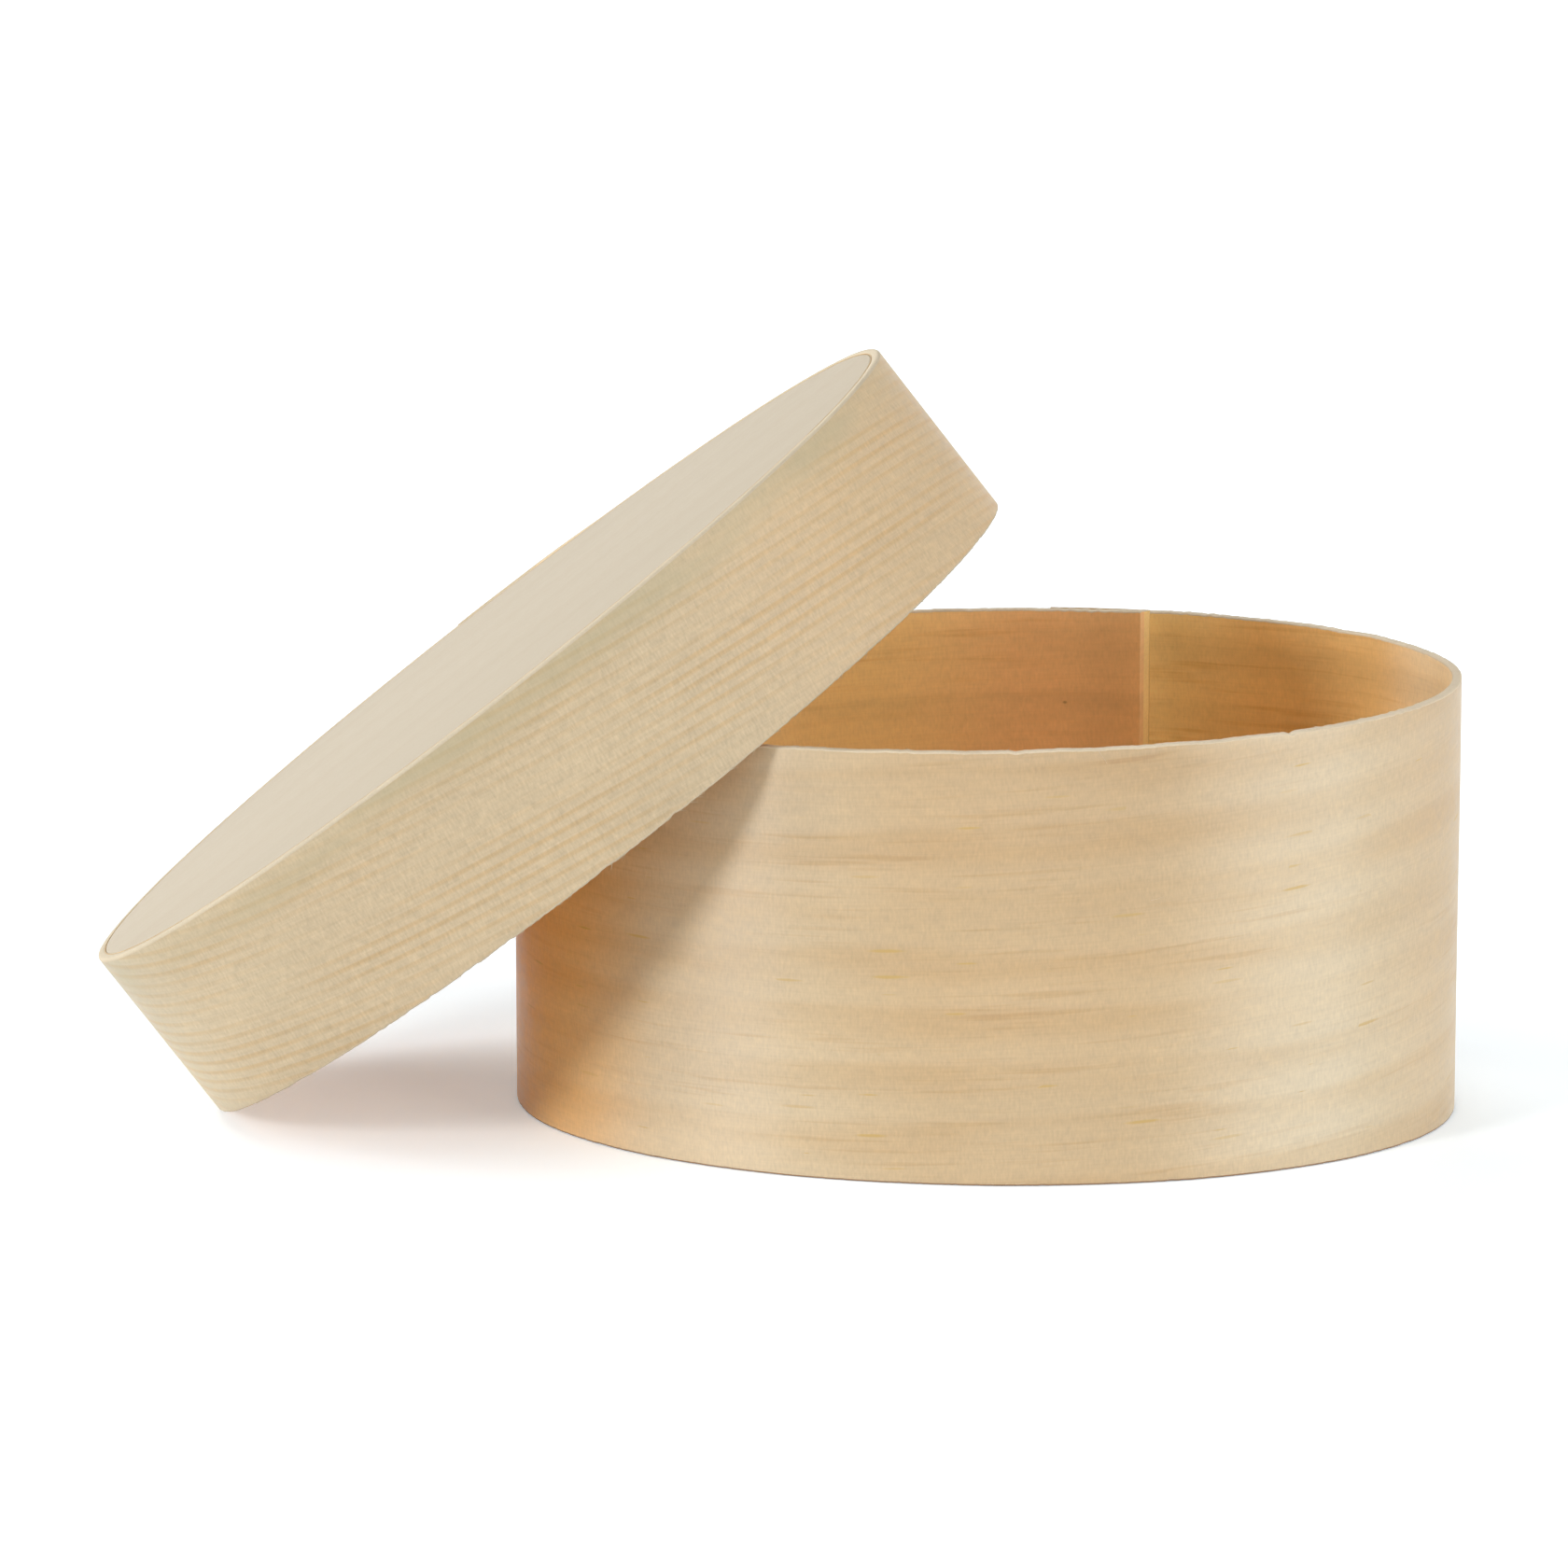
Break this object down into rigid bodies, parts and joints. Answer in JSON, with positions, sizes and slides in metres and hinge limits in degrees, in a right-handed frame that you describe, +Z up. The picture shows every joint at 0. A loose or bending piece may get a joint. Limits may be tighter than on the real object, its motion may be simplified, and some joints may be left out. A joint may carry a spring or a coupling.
{
  "type": "oval chip box",
  "caption": "Oval box of bent wood veneer round a flat base, with its shallow veneer lid taken off and leaning on one end.",
  "frame": {"origin": "centre of the box's underside, on the surface that it stands on", "axes": "+X along the oval's long axis, away from the leaning lid; +Y towards the back, where the box strip's ends overlap; +Z up, through the box's mouth"},
  "size_m": [0.2157, 0.1118, 0.1201],
  "materials": {
    "box_veneer": "bare sliced pine veneer, fine straight grain, matte",
    "lid_veneer": "bare pale pine veneer, close parallel grain, matte",
    "panel_wood": "bare smooth pale wood panel, faint streaks, matte",
    "glue": "dried clear wood glue"
  },
  "bodies": {
    "box": {"box_band": "box_veneer", "box_base": "panel_wood", "box_lap_glue": "glue", "box_base_glue": "glue"},
    "lid": {"lid_band": "lid_veneer", "lid_top": "panel_wood", "lid_lap_glue": "glue", "lid_top_glue": "glue"}
  },
  "joints": [
    {"name": "lid_lift", "type": "slide", "parent": "box", "child": "lid", "axis": [0, 0, 1], "range_m": [0, 0.12]}
  ]
}
